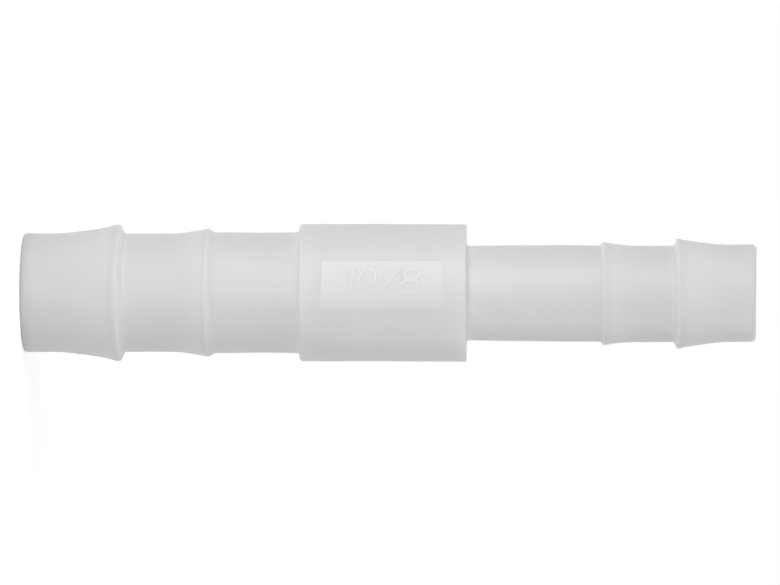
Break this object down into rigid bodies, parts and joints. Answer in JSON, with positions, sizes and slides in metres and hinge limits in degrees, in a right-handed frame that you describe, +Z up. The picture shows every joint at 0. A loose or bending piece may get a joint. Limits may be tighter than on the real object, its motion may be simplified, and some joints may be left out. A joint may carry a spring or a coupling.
{
  "type": "hose reducer",
  "caption": "Barbed plastic hose reducer: a wide and a narrow barbed stem on one bore axis, joined by a plain collar with a low size label.",
  "frame": {"origin": "on the bore axis, in the flat face of the large end that the part stands on", "axes": "+Z up along the bore axis towards the small hose end, -Y out of the size label on the collar; the part stands on its large end"},
  "size_m": [0.0116, 0.0118, 0.0615],
  "materials": {
    "natural_plastic": "satin"
  },
  "bodies": {
    "root": {"reducer_body": "natural_plastic"}
  },
  "joints": []
}
